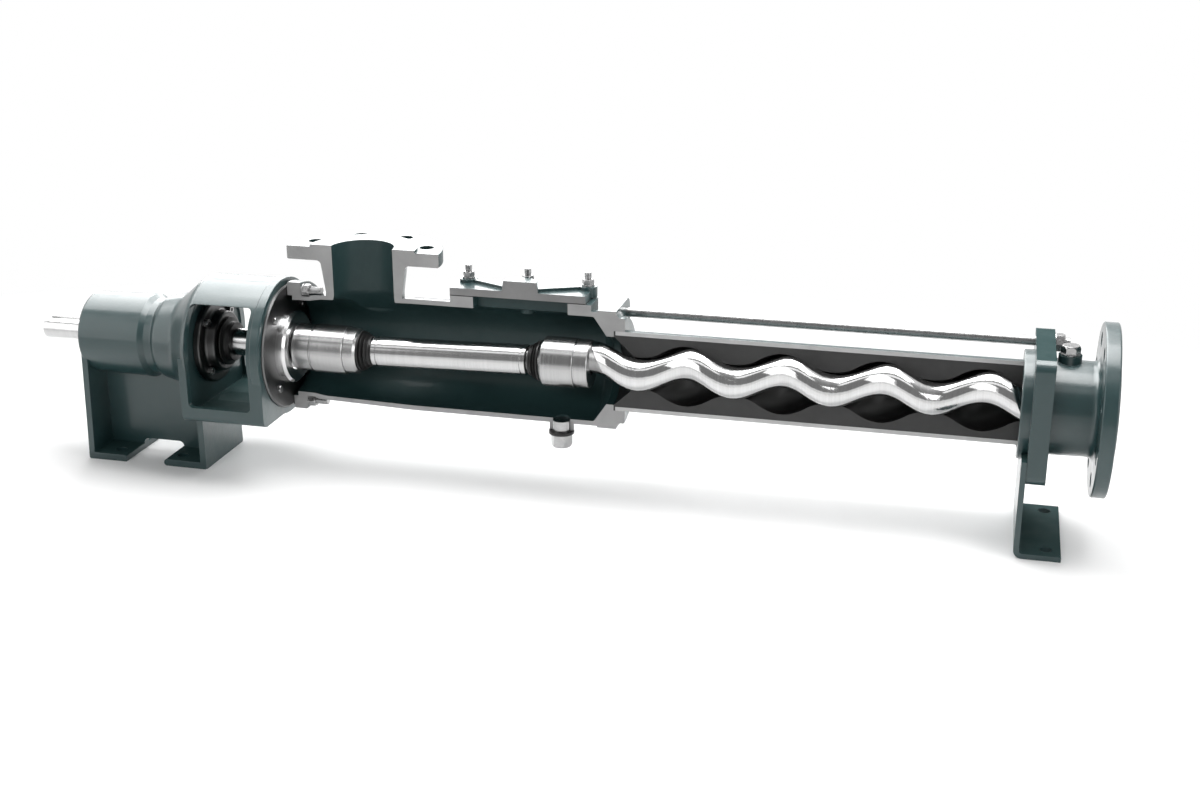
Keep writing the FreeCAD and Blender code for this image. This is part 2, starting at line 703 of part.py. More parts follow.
# Seal cover, its bolts and the still half of the shaft seal.
seal_cover = turned([
    (RECESS_X, SEAL_COVER_BORE_R), (RECESS_X, SEAL_COVER_R),
    (SEAL_FACE_X - SEAL_COVER_EDGE, SEAL_COVER_R), (SEAL_FACE_X, SEAL_COVER_R - SEAL_COVER_EDGE),
    (SEAL_FACE_X, SEAL_COVER_BORE_R)])
seal_bolts = []
for turn in SEAL_BOLT_TURNS:
    y, z = polar(SEAL_BOLT_PCD_R, turn)
    seal_cover = seal_cover.cut(bar_x(RECESS_X - 1, SEAL_FACE_X + 1, SCREW_R + FIT, y, z))
    head = nut_x(SEAL_FACE_X, SEAL_BOLT_H, SEAL_BOLT_AF, 0, y, z)
    seal_bolts.append(head.fuse(bar_x(LIP_X + 1, SEAL_FACE_X, SCREW_R, y, z)))
for k in range(STUD_COUNT):
    y, z = polar(STUD_PCD_R, STUD_FIRST_DEG + k * STUD_STEP_DEG)
    seal_cover = seal_cover.cut(bar_x(RECESS_X - 1, SEAL_FACE_X + 1, STUD_R + FIT, y, z))
save("seal_cover", seal_cover)
save("seal_cover_bolts", seal_bolts)
seat_end = SEAL_FACE_X + SEAL_SEAT_LEN
seat = turned([(RECESS_X, SEAL_SEAT_BORE_R), (RECESS_X, SEAL_COVER_BORE_R),
               (SEAL_FACE_X, SEAL_COVER_BORE_R), (SEAL_FACE_X, SEAL_SEAT_R),
               (seat_end - SEAL_SEAT_BEVEL, SEAL_SEAT_R - 1), (seat_end, SEAL_SEAT_TIP_R),
               (seat_end, SEAL_SEAT_BORE_R)])
save("seal_seat", seat)

# Suction casing, the far half.
NECK_X = CASING_X + CASING_FLANGE_T
block_x = CASING_END_X - BLOCK_LEN
hub_x = CASING_END_X - HUB_LEN
casing_skin = turned([
    (CASING_X, 0), (CASING_X, CASING_FLANGE_R, 2), (NECK_X, CASING_FLANGE_R, 3),
    (NECK_X, CASING_NECK_R + 1.5, 3), (NECK_X + 16, CASING_NECK_R + 5, 20),
    (CASING_FULL_X, CASING_BORE_R + CASING_WALL, CASING_FULL_ROUND),
    (block_x + 4, CASING_BORE_R + CASING_WALL),
    (block_x + 4, 0)])
end_square = rounded_box_points(-BLOCK_HALF, BLOCK_HALF, -BLOCK_HALF, BLOCK_HALF, BLOCK_CORNER_R)
casing_block = slab_x(end_square, block_x, hub_x)
cove_top = HUB_R + HUB_COVE_R + 0.2
hub = turned([(hub_x - 1, 0), (hub_x - 1, cove_top), (hub_x, cove_top), (hub_x, HUB_R, HUB_COVE_R),
              (CASING_END_X - HUB_EDGE, HUB_R), (CASING_END_X, HUB_R - HUB_EDGE), (CASING_END_X, 0)])
nozzle_low = SUCTION_FACE_Z - FLANGE_T
nozzle = turned_up([
    (0, NOZZLE_FOOT_Z), (NECK_R, NOZZLE_FOOT_Z), (NECK_R, NECK_STRAIGHT_Z),
    (NECK_TOP_R, nozzle_low, NECK_FILLET),
    (FLANGE_R, nozzle_low, 1.5), (FLANGE_R, SUCTION_FACE_Z - FLANGE_FACE_H, 1.5),
    (FLANGE_FACE_R, SUCTION_FACE_Z - FLANGE_FACE_H), (FLANGE_FACE_R, SUCTION_FACE_Z),
    (0, SUCTION_FACE_Z)])
pad_end = PAD_X + PAD_LEN
pad = slab_z(rounded_box_points(PAD_X, pad_end, -PAD_HALF_W, PAD_HALF_W, PAD_CORNER_R), PAD_LOW,
             PAD_TOP)
drain_boss = bar_z(DRAIN_X, 0, -DRAIN_BOSS_Z, -CASING_BORE_R + 12, DRAIN_BOSS_R)
spot_x = NECK_X + WASHER_T + STUD_NUT_H + SPOT_GAP
bore_points = [
    (CASING_X - 1, 0), (CASING_X - 1, CASING_RECESS_R), (CASING_X + CASING_RECESS_LEN, CASING_RECESS_R),
    (CASING_X + CASING_RECESS_LEN, CASING_MOUTH_R), (spot_x, CASING_MOUTH_R + 0.5),
    (spot_x + 15, CASING_NECK_R, 20), (CASING_FULL_X, CASING_BORE_R, CASING_FULL_ROUND),
    (CASING_CONE_X, CASING_BORE_R, 4), (CASING_LIP_X, CASING_LIP_R), (STATOR_X, CASING_LIP_R),
    (STATOR_X, STATOR_R + FIT), (CASING_END_X + 1, STATOR_R + FIT), (CASING_END_X + 1, 0)]
casing = fused([casing_skin, casing_block, hub, nozzle, pad, drain_boss])
casing = casing.cut(turned(bore_points))
HATCH_MID = PAD_X + PAD_LEN / 2.0 + HATCH_OFF
stud_boss = bar_z(HATCH_MID, COVER_STUD_Y, STUD_BOSS_Z, PAD_TOP - 2, STUD_BOSS_R)
casing = casing.fuse(stud_boss)
flare_r = NECK_TOP_R - 2
casing = casing.cut(turned_up([(0, 0), (flare_r, 0), (flare_r, PORT_FLARE_LOW_Z),
                               (PORT_R, PORT_FLARE_TOP_Z, PORT_FLARE_ROUND),
                               (PORT_R, SUCTION_FACE_Z + 1), (0, SUCTION_FACE_Z + 1)]))
hatch = slab_z(rounded_box_points(HATCH_MID - HATCH_LEN / 2.0, HATCH_MID + HATCH_LEN / 2.0,
                                  -HATCH_HALF_W, HATCH_HALF_W, HATCH_CORNER_R), HATCH_LOW,
               PAD_TOP + 1)
casing = casing.cut(hatch)
casing = casing.cut(bar_z(DRAIN_X, 0, -DRAIN_BOSS_Z - 1, -CASING_BORE_R + 12, DRAIN_R + FIT))
for k in range(FLANGE_HOLES):
    turn = math.radians((k + 0.5) * 360.0 / FLANGE_HOLES)
    casing = casing.cut(bar_z(FLANGE_PCD_R * math.cos(turn), FLANGE_PCD_R * math.sin(turn),
                              nozzle_low - 1, SUCTION_FACE_Z + 1, FLANGE_HOLE_R))
for k in range(STUD_COUNT):
    y, z = polar(STUD_PCD_R, STUD_FIRST_DEG + k * STUD_STEP_DEG)
    casing = casing.cut(bar_x(CASING_X - 1, NECK_X + 1, STUD_R + FIT, y, z))
    casing = casing.cut(bar_x(NECK_X, spot_x, STUD_WASHER_R + SPOT_GAP, y, z))
    casing = casing.cut(bar_x(NECK_X, spot_x + STUD_TAIL + SPOT_GAP, STUD_R + SPOT_GAP, y, z))
for z in (-TIE_ROD_OFF, TIE_ROD_OFF):
    casing = casing.cut(bar_x(CASING_END_X - TIE_ROD_GRIP, CASING_END_X + 1, TIE_ROD_R + FIT,
                              TIE_ROD_OFF, z))
STUDS_X = [HATCH_MID - COVER_STUD_PITCH, HATCH_MID, HATCH_MID + COVER_STUD_PITCH]
for stud_x in STUDS_X:
    casing = casing.cut(bar_z(stud_x, COVER_STUD_Y, PAD_TOP - COVER_STUD_DEPTH, PAD_TOP + 1,
                              COVER_STUD_R + FIT))
save("suction_casing", far_half(casing))
casing_ring = ring_x(SEAL_FACE_X, CASING_X, SEAL_COVER_R, CASING_RECESS_R)
for k in range(STUD_COUNT):
    y, z = polar(STUD_PCD_R, STUD_FIRST_DEG + k * STUD_STEP_DEG)
    casing_ring = casing_ring.cut(bar_x(RECESS_X, NECK_X, STUD_R + FIT, y, z))
save("casing_seal_ring", far_half(casing_ring))

casing_studs = []
casing_nuts = []
casing_washers = []
for k in range(STUD_COUNT):
    y, z = polar(STUD_PCD_R, STUD_FIRST_DEG + k * STUD_STEP_DEG)
    casing_studs.append(bar_x(LIP_X + 2, spot_x + STUD_TAIL, STUD_R, y, z))
    casing_washers.append(ring_x(NECK_X, NECK_X + WASHER_T, STUD_WASHER_R, STUD_R + FIT, y, z))
    casing_nuts.append(nut_x(NECK_X + WASHER_T, STUD_NUT_H, STUD_NUT_AF, STUD_R + FIT, y, z))
save("casing_studs", casing_studs)
save("casing_nuts", casing_nuts)
save("casing_washers", casing_washers)

# Inspection cover, the far half, with gasket, studs, washers and nuts.
cover_mid = HATCH_MID
cover_end_x = pad_end - COVER_SHORT
gasket_outline = rounded_box_points(PAD_X, cover_end_x, -PAD_HALF_W, PAD_HALF_W, PAD_CORNER_R)
gasket_top = PAD_TOP + GASKET_T
cover_top = gasket_top + COVER_T
gasket = slab_z(gasket_outline, PAD_TOP, gasket_top).cut(hatch)
gasket = gasket.cut(slab_z(rounded_box_points(HATCH_MID - HATCH_LEN / 2.0,
                                              HATCH_MID + HATCH_LEN / 2.0, -HATCH_HALF_W,
                                              HATCH_HALF_W, HATCH_CORNER_R), PAD_TOP - 1,
                           gasket_top + 1))
cover = slab_z(gasket_outline, gasket_top, cover_top)
boss = Part.makeCone(COVER_BOSS_R, COVER_BOSS_TIP_R, COVER_BOSS_H, V(cover_mid, 0, cover_top),
                     V(0, 0, 1))
cover_parts = [cover, boss]
cover_studs = []
cover_nuts = []
cover_washers = []
lug_top = cover_top + COVER_LUG_H
for stud_x in STUDS_X:
    cover_parts.append(bar_z(stud_x, COVER_STUD_Y, gasket_top, lug_top, COVER_LUG_R))
    reach = math.hypot(stud_x - cover_mid, COVER_STUD_Y)
    rib = block(0, reach, -COVER_RIB_W / 2.0, COVER_RIB_W / 2.0, gasket_top + 1,
                cover_top + COVER_RIB_H)
    rib.rotate(V(0, 0, 0), V(0, 0, 1),
               math.degrees(math.atan2(COVER_STUD_Y, stud_x - cover_mid)))
    rib.translate(V(cover_mid, 0, 0))
    cover_parts.append(rib)
    gasket = gasket.cut(bar_z(stud_x, COVER_STUD_Y, PAD_TOP - 1, gasket_top + 1,
                              COVER_STUD_R + FIT))
cover = fused(cover_parts)
for stud_x in STUDS_X:
    cover = cover.cut(bar_z(stud_x, COVER_STUD_Y, gasket_top - 1, lug_top + 30,
                            COVER_STUD_R + FIT))
    nut_low = lug_top + WASHER_T
    tail = nut_low + COVER_NUT_H + COVER_STUD_TAIL
    cover_studs.append(bar_z(stud_x, COVER_STUD_Y, PAD_TOP - COVER_STUD_DEPTH + 1, tail,
                             COVER_STUD_R))
    cover_washers.append(ring_z(stud_x, COVER_STUD_Y, lug_top, nut_low, COVER_WASHER_R,
                                COVER_STUD_R + FIT))
    cover_nuts.append(nut_z(nut_low, COVER_NUT_H, COVER_NUT_AF, COVER_STUD_R + FIT, stud_x,
                            COVER_STUD_Y))
save("inspection_cover", far_half(cover))
save("cover_gasket", far_half(gasket))
save("cover_studs", cover_studs)
save("cover_washers", cover_washers)
save("cover_nuts", cover_nuts)

drain_ring_z = -DRAIN_BOSS_Z - DRAIN_RING_T
save("drain_washer", ring_z(DRAIN_X, 0, drain_ring_z, -DRAIN_BOSS_Z, DRAIN_RING_R,
                            DRAIN_R + FIT))
drain_plug = bar_z(DRAIN_X, 0, drain_ring_z, -DRAIN_BOSS_Z + DRAIN_SHANK, DRAIN_R)
drain_head = nut_z(0, DRAIN_HEAD, DRAIN_AF, 0, 0, 0)
drain_head.rotate(V(0, 0, 0), V(1, 0, 0), 180)
drain_head.translate(V(DRAIN_X, 0, drain_ring_z))
save("drain_plug", drain_plug.fuse(drain_head))

# Stator: steel tube and rubber lining, the far halves.
tube_bore_r = STATOR_R - STATOR_WALL
tube_x = STATOR_X + LINING_LIP_T
tube_end_x = STATOR_END_X - LINING_LIP_T
save("stator_tube", far_half(ring_x(tube_x, tube_end_x, STATOR_R, tube_bore_r)))
lining = fused([bar_x(STATOR_X, STATOR_END_X, tube_bore_r), bar_x(STATOR_X, tube_x, STATOR_R),
                bar_x(tube_end_x, STATOR_END_X, STATOR_R)])
lining = lining.cut(slot_bar(STATOR_X - 2, STATOR_END_X + 2))
funnel = Part.makeCone(FUNNEL_R, ROTOR_R, FUNNEL_LEN, V(STATOR_X, 0, 0),
                       V(1, 0, 0))
lining = far_half(lining.cut(funnel))
save("stator_lining", max(lining.Solids, key=lambda s: s.Volume))

# Discharge casing, whole.
outlet_back = OUTLET_FACE_X - FLANGE_T
outlet_skin = turned([
    (COLLAR_X, 0), (COLLAR_X, COLLAR_R, 2), (PLATE_X + 1, COLLAR_R), (PLATE_X + 1, OUTLET_R),
    (PLATE_END_X, OUTLET_R + 1), (outlet_back, OUTLET_R, OUTLET_FILLET),
    (outlet_back, FLANGE_R, 2), (OUTLET_FACE_X - FLANGE_FACE_H, FLANGE_R, 2),
    (OUTLET_FACE_X - FLANGE_FACE_H, FLANGE_FACE_R), (OUTLET_FACE_X, FLANGE_FACE_R),
    (OUTLET_FACE_X, 0)])
plate = slab_x(rounded_box_points(-PLATE_HALF, PLATE_HALF, -PLATE_HALF, PLATE_HALF,
                                  PLATE_CORNER_R), PLATE_X, PLATE_END_X)
outlet = fused([outlet_skin, plate, bar_z(GAUGE_X, 0, OUTLET_R - 12, GAUGE_BOSS_Z, GAUGE_BOSS_R)])
outlet = outlet.cut(turned([
    (COLLAR_X - 1, 0), (COLLAR_X - 1, STATOR_R + FIT), (STATOR_END_X, STATOR_R + FIT),
    (STATOR_END_X, OUTLET_CHAMBER_R), (PLATE_END_X, OUTLET_CHAMBER_R),
    (PLATE_END_X + OUTLET_TAPER, PORT_R), (OUTLET_FACE_X + 1, PORT_R), (OUTLET_FACE_X + 1, 0)]))
outlet = outlet.cut(bar_z(GAUGE_X, 0, PORT_R - 5, GAUGE_BOSS_Z + 1, GAUGE_R + FIT))
for k in range(FLANGE_HOLES):
    turn = (k + 0.5) * 360.0 / FLANGE_HOLES
    y, z = polar(FLANGE_PCD_R, turn)
    outlet = outlet.cut(bar_x(outlet_back - 1, OUTLET_FACE_X + 1, FLANGE_HOLE_R, y, z))
for y in (-TIE_ROD_OFF, TIE_ROD_OFF):
    for z in (-TIE_ROD_OFF, TIE_ROD_OFF):
        outlet = outlet.cut(bar_x(PLATE_X - 1, PLATE_END_X + 1, TIE_ROD_R + FIT, y, z))
save("discharge_casing", outlet)
save("gauge_washer", ring_z(GAUGE_X, 0, GAUGE_BOSS_Z, GAUGE_BOSS_Z + WASHER_T, GAUGE_BOSS_R - 1.5,
                            GAUGE_R + FIT))
gauge_plug = nut_z(GAUGE_BOSS_Z + WASHER_T, GAUGE_HEAD, GAUGE_AF, 0, GAUGE_X, 0)
save("gauge_plug", gauge_plug.fuse(bar_z(GAUGE_X, 0, GAUGE_BOSS_Z - GAUGE_DEPTH, GAUGE_BOSS_Z + WASHER_T,
                                         GAUGE_R)))

# Tie rods on the far side and what holds them.
rods = []
rod_nuts = []
rod_washers = []
for z in (-TIE_ROD_OFF, TIE_ROD_OFF):
    nut_x0 = PLATE_END_X + WASHER_T
    rod_end = nut_x0 + TIE_ROD_NUT_H + TIE_ROD_TAIL
    rods.append(bar_x(CASING_END_X - TIE_ROD_GRIP, rod_end, TIE_ROD_R, TIE_ROD_OFF, z))
    rod_washers.append(ring_x(PLATE_END_X, nut_x0, TIE_ROD_WASHER_R, TIE_ROD_R + FIT, TIE_ROD_OFF,
                              z))
    rod_nuts.append(nut_x(nut_x0, TIE_ROD_NUT_H, TIE_ROD_NUT_AF, TIE_ROD_R + FIT, TIE_ROD_OFF, z))
save("tie_rods", rods)
save("tie_rod_washers", rod_washers)
save("tie_rod_nuts", rod_nuts)

# Support foot: one bent plate under the discharge end.
support_x = PLATE_X - SUPPORT_T
bend_in = SUPPORT_BEND_R - SUPPORT_T
support = slab_y([
    (support_x, FLOOR, SUPPORT_BEND_R), (support_x, -SUPPORT_TOP), (PLATE_X, -SUPPORT_TOP),
    (PLATE_X, FLOOR + SUPPORT_T, bend_in), (support_x + SUPPORT_LEN, FLOOR + SUPPORT_T, 1),
    (support_x + SUPPORT_LEN, FLOOR, 1)], -SUPPORT_HALF_W, SUPPORT_HALF_W)
support = support.cut(bar_x(support_x - 1, PLATE_X + 1, COLLAR_R + 0.8))
for side in (-1.0, 1.0):
    support = support.cut(bar_x(support_x - 1, PLATE_X + 1, TIE_ROD_R + FIT, side * TIE_ROD_OFF,
                                -TIE_ROD_OFF))
    support = support.cut(bar_z(support_x + SUPPORT_LEN - SUPPORT_HOLE_IN, side * SUPPORT_HOLE_Y,
                                FLOOR - 1, FLOOR + SUPPORT_T + 1, SUPPORT_HOLE_R))
save("support_foot", support)

# Drive shaft and the pieces that turn with it.
shaft_step = FRONT_BEARING_X - SHAFT_STEP_BACK
front_end = FRONT_BEARING_X + BEARING_W
shaft = turned([
    (SHAFT_TIP_X, 0), (SHAFT_TIP_X, SHAFT_END_R - SHAFT_EDGE), (SHAFT_TIP_X + SHAFT_EDGE, SHAFT_END_R),
    (front_seal_x, SHAFT_END_R), (front_seal_x, SHAFT_SEAL_R), (shaft_step, SHAFT_SEAL_R),
    (shaft_step, SHAFT_R - 0.8), (shaft_step + 0.8, SHAFT_R),
    (front_end, SHAFT_R), (front_end, SHAFT_SHOULDER_R), (REAR_BEARING_X, SHAFT_SHOULDER_R),
    (REAR_BEARING_X, SHAFT_R), (HEAD_X, SHAFT_R), (HEAD_X, 0)])
key_x = SHAFT_TIP_X + KEYWAY_START
half_key = KEYWAY_W / 2.0
keyway = slab_z([(key_x, -half_key, half_key - 0.01), (key_x + KEYWAY_LEN, -half_key, half_key - 0.01),
                 (key_x + KEYWAY_LEN, half_key, half_key - 0.01), (key_x, half_key, half_key - 0.01)],
                SHAFT_END_R - KEYWAY_DEPTH, SHAFT_END_R + 5)
shaft = shaft.cut(keyway)
shaft = shaft.cut(bar_x(SHAFT_TIP_X - 1, SHAFT_TIP_X + SHAFT_CENTRE_LEN, SHAFT_CENTRE_R))
save("drive_shaft", shaft)
save("bearing_inner_rings", inner_rings)
locknut = ring_x(REAR_BEARING_END, REAR_BEARING_END + LOCKNUT_T, LOCKNUT_R, SHAFT_R)
for k in range(4):
    y, z = polar(LOCKNUT_R, 90.0 * k)
    locknut = locknut.cut(bar_x(REAR_BEARING_END + 2, REAR_BEARING_END + LOCKNUT_T + 1,
                                LOCKNUT_SLOT_R, y, z))
save("bearing_locknut", locknut)
save("shaft_circlip", ring_x(FRONT_BEARING_X - CIRCLIP_T, FRONT_BEARING_X, SHAFT_R + CIRCLIP_H,
                             SHAFT_R))
slinger_x = cover_end + SLINGER_GAP
slinger_hub_r = SHAFT_R + SLINGER_HUB_H
slinger_end = slinger_x + SLINGER_LEN
slinger = turned([(slinger_x, SHAFT_R), (slinger_x, SLINGER_R), (slinger_x + SLINGER_RIM_T, SLINGER_R),
                  (slinger_x + 0.4 * SLINGER_LEN, slinger_hub_r, 2), (slinger_end, slinger_hub_r, 1),
                  (slinger_end, SHAFT_R)])
save("slinger_ring", slinger)
seal_ring_x = HEAD_X - SEAL_RING_LEN
seal_ring = turned([(seal_ring_x, SHAFT_R), (seal_ring_x, SEAL_RING_R - 3, 0.8),
                    (seal_ring_x + 3, SEAL_RING_R, 0.8), (HEAD_X, SEAL_RING_R), (HEAD_X, SHAFT_R)])
save("seal_rotating_ring", seal_ring)
seal_sleeve_x = LIP_X - SEAL_SLEEVE_OUT
seal_sleeve_r = SHAFT_R + SEAL_SLEEVE_H
save("seal_sleeve", turned([(seal_sleeve_x, SHAFT_R), (seal_sleeve_x, seal_sleeve_r, 1),
                            (seal_ring_x, seal_sleeve_r), (seal_ring_x, SHAFT_R)]))

drive_head_end = HEAD_X + DRIVE_HEAD_LEN
seat_r = HEAD_R - HEAD_STEP
nose_r = HEAD_R - HEAD_NOSE_H
groove_x = DRIVE_SLEEVE_X - 2.0 * HEAD_STEP
drive_head = turned([
    (HEAD_X, 0), (HEAD_X, HEAD_R - HEAD_EDGE), (HEAD_X + HEAD_EDGE, HEAD_R), (groove_x, HEAD_R),
    (groove_x, seat_r), (drive_head_end - HEAD_NOSE, seat_r), (drive_head_end, nose_r),
    (drive_head_end, HEAD_BORE_R), (HEAD_X + HEAD_WALL, HEAD_BORE_R), (HEAD_X + HEAD_WALL, 0)])
drive_head = drive_head.cut(bar_y(DRIVE_PIN_X, 0, -HEAD_R - 5, HEAD_R + 5, PIN_R + FIT))
save("drive_joint_head", drive_head)
sleeve_r = HEAD_R + SLEEVE_T


def sleeve(x0, length):
    """thin sleeve that covers the ends of a joint's pin"""
    end = x0 + length
    return turned([(x0, seat_r), (x0, sleeve_r - SLEEVE_EDGE), (x0 + SLEEVE_EDGE, sleeve_r),
                   (end - SLEEVE_EDGE, sleeve_r), (end, sleeve_r - SLEEVE_EDGE), (end, seat_r)])


save("drive_joint_sleeve", sleeve(DRIVE_SLEEVE_X, SLEEVE_LEN))
pin_half = math.sqrt(seat_r * seat_r - PIN_R * PIN_R) - PIN_GAP
save("drive_joint_pin", bar_y(DRIVE_PIN_X, 0, -pin_half, pin_half, PIN_R))

# Rotor, its joint head, sleeve and pin.
head2_end = ROTOR_HEAD_X + ROTOR_HEAD_LEN
cavity_end = ROTOR_HEAD_X + ROTOR_HEAD_CAVITY
rotor_head = turned([
    (ROTOR_HEAD_X, HEAD_BORE_R), (ROTOR_HEAD_X, nose_r), (ROTOR_HEAD_X + HEAD_NOSE, seat_r),
    (cavity_end + 4, seat_r), (cavity_end + 4, HEAD_R), (head2_end - 1, HEAD_R),
    (head2_end, HEAD_R - 1), (head2_end, ROTOR_STUB_R + FIT),
    (head2_end - ROTOR_STUB_LEN, ROTOR_STUB_R + FIT), (head2_end - ROTOR_STUB_LEN, 0),
    (cavity_end, 0), (cavity_end, HEAD_BORE_R)])
rotor_head = rotor_head.cut(bar_y(ROTOR_PIN_X, 0, -HEAD_R - 5, HEAD_R + 5, PIN_R + FIT))
rotor_sleeve = sleeve(ROTOR_HEAD_X + HEAD_NOSE + 1, ROTOR_SLEEVE_LEN)
rotor = screw_bar(head2_end, ROTOR_END_X)
rotor = rotor.fuse(bar_x(head2_end - ROTOR_STUB_LEN + 0.5, head2_end + 4, ROTOR_STUB_R - 3.0))
rotor_pin = bar_y(ROTOR_PIN_X, 0, -pin_half, pin_half, PIN_R)
rotor_home = V(0, ROTOR_Y, ROTOR_Z)
for name, shape in (("rotor_joint_head", rotor_head), ("rotor_joint_sleeve", rotor_sleeve),
                    ("rotor", rotor), ("rotor_joint_pin", rotor_pin)):
    shape.translate(rotor_home)
    save(name, shape)

# Coupling rod from the drive pin to the rotor pin, with the boots on its ends.
rod_span = ROTOR_PIN_X - DRIVE_PIN_X
rod_len = math.hypot(rod_span, ECC)
rod_aim = V(rod_span, ROTOR_Y, ROTOR_Z)
lean = FreeCAD.Rotation(V(1, 0, 0), rod_aim)


def along_rod(shape):
    """lay a shape drawn on the x axis from 0 onto the line between the pins"""
    body = shape.copy()
    body.Placement = FreeCAD.Placement(V(DRIVE_PIN_X, 0, 0), lean).multiply(body.Placement)
    return body


drive_collar = drive_head_end - DRIVE_PIN_X + BOOT_LEN + 1.0
rotor_collar = rod_len - (ROTOR_PIN_X - ROTOR_HEAD_X) - BOOT_LEN - 1.0
line_r = ROD_MID_R - ROD_LINE_H
line_a = drive_collar + ROD_LINE_AT
line_b = rotor_collar - ROD_LINE_AT
rod = turned([
    (-ROD_END_HALF, 0), (-ROD_END_HALF, ROD_END_R - 4, 2), (-ROD_END_HALF + 5, ROD_END_R),
    (ROD_END_HALF, ROD_END_R), (ROD_END_HALF + 2, ROD_R), (drive_collar, ROD_R),
    (drive_collar + ROD_MID_EDGE, ROD_MID_R), (line_a, ROD_MID_R), (line_a, line_r),
    (line_a + ROD_LINE_W, line_r), (line_a + ROD_LINE_W, ROD_MID_R),
    (line_b - ROD_LINE_W, ROD_MID_R), (line_b - ROD_LINE_W, line_r), (line_b, line_r),
    (line_b, ROD_MID_R), (rotor_collar - ROD_MID_EDGE, ROD_MID_R), (rotor_collar, ROD_R),
    (rod_len - ROD_END_HALF - 2, ROD_R), (rod_len - ROD_END_HALF, ROD_END_R),
    (rod_len + ROD_END_HALF - 5, ROD_END_R), (rod_len + ROD_END_HALF, ROD_END_R - 4, 2),
    (rod_len + ROD_END_HALF, 0)])
bushings = []
for place in (0.0, rod_len):
    rod = rod.cut(bar_y(place, 0, -30, 30, BUSH_R))
    bush = bar_y(place, 0, -ROD_END_R + 3, ROD_END_R - 3, BUSH_R)
    bushings.append(along_rod(bush.cut(bar_y(place, 0, -30, 30, BUSH_BORE_R))))
save("coupling_rod", along_rod(rod))
save("rod_bushings", bushings)


def boot(face, step):
    """ribbed rubber boot that narrows from the joint head to the rod"""
    bore = ROD_R + CLEAR
    start = face + step * (CLEAR + BOOT_R * ROD_LEAN)
    end = face + step * BOOT_LEN
    rib = step * (BOOT_LEN - BOOT_RIM - 1.0) / BOOT_RIBS
    outline = [(start, bore), (start, BOOT_R), (face + step * BOOT_RIM, BOOT_R)]
    for k in range(BOOT_RIBS):
        high = BOOT_R - 1.0 - (BOOT_R - BOOT_NECK_R - 1.0) * k / (BOOT_RIBS - 1.0)
        left = face + step * BOOT_RIM + rib * k
        outline.append((left + rib * 0.3, max(high - BOOT_RIB_H, bore + BOOT_T)))
        outline.append((left + rib * 0.75, high))
    return turned(outline + [(end, BOOT_NECK_R - 1.0), (end, bore)])


boot_start = drive_head_end - DRIVE_PIN_X
boot_back = rod_len - (ROTOR_PIN_X - ROTOR_HEAD_X)
save("joint_boots", [along_rod(boot(boot_start, 1.0)), along_rod(boot(boot_back, -1.0))])

# Balls and cages, one set for both bearings.
balls = []
cages = []
for mid in BEARING_MIDS:
    cage = ring_x(mid - CAGE_HALF_W, mid + CAGE_HALF_W, BALL_PITCH_R + CAGE_HALF_T,
                  BALL_PITCH_R - CAGE_HALF_T)
    for k in range(BALLS):
        y, z = polar(BALL_PITCH_R, 360.0 * k / BALLS)
        balls.append(Part.makeSphere(BALL_R, V(mid, y, z)))
        cage = cage.cut(Part.makeSphere(BALL_R + POCKET_GAP, V(mid, y, z)))
    cages.append(cage)
save("bearing_balls", balls)
save("bearing_cages", cages)
print("rest offset of the rotor axis", round(ROTOR_Y, 3), round(ROTOR_Z, 3))
print("shift", SHIFT)
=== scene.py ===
import math
import bpy
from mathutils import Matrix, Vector


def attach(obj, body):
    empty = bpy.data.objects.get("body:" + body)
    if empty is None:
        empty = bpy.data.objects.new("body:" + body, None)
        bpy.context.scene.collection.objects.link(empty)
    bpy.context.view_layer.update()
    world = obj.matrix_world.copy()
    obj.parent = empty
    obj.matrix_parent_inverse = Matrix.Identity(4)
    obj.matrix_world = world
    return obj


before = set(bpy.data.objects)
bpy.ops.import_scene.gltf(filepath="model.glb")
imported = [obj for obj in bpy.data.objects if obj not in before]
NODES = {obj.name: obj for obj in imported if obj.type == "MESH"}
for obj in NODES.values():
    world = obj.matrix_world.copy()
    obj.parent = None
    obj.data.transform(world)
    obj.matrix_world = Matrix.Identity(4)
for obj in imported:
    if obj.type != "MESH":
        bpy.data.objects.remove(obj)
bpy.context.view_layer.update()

AXIS_Z = 0.160           # height of the pump axis
PUMP_X = -0.227          # row x of the suction nozzle's centre line
SMOOTH_DEG = 32.0        # sharper edges of the CAD meshes stay sharp
CUT_TOL = 2e-5           # faces this near to y = 0 belong to the lengthwise cut


def rgba(r, g, b):
    return (r, g, b, 1.0)


def grey(v):
    return rgba(v, v, v)


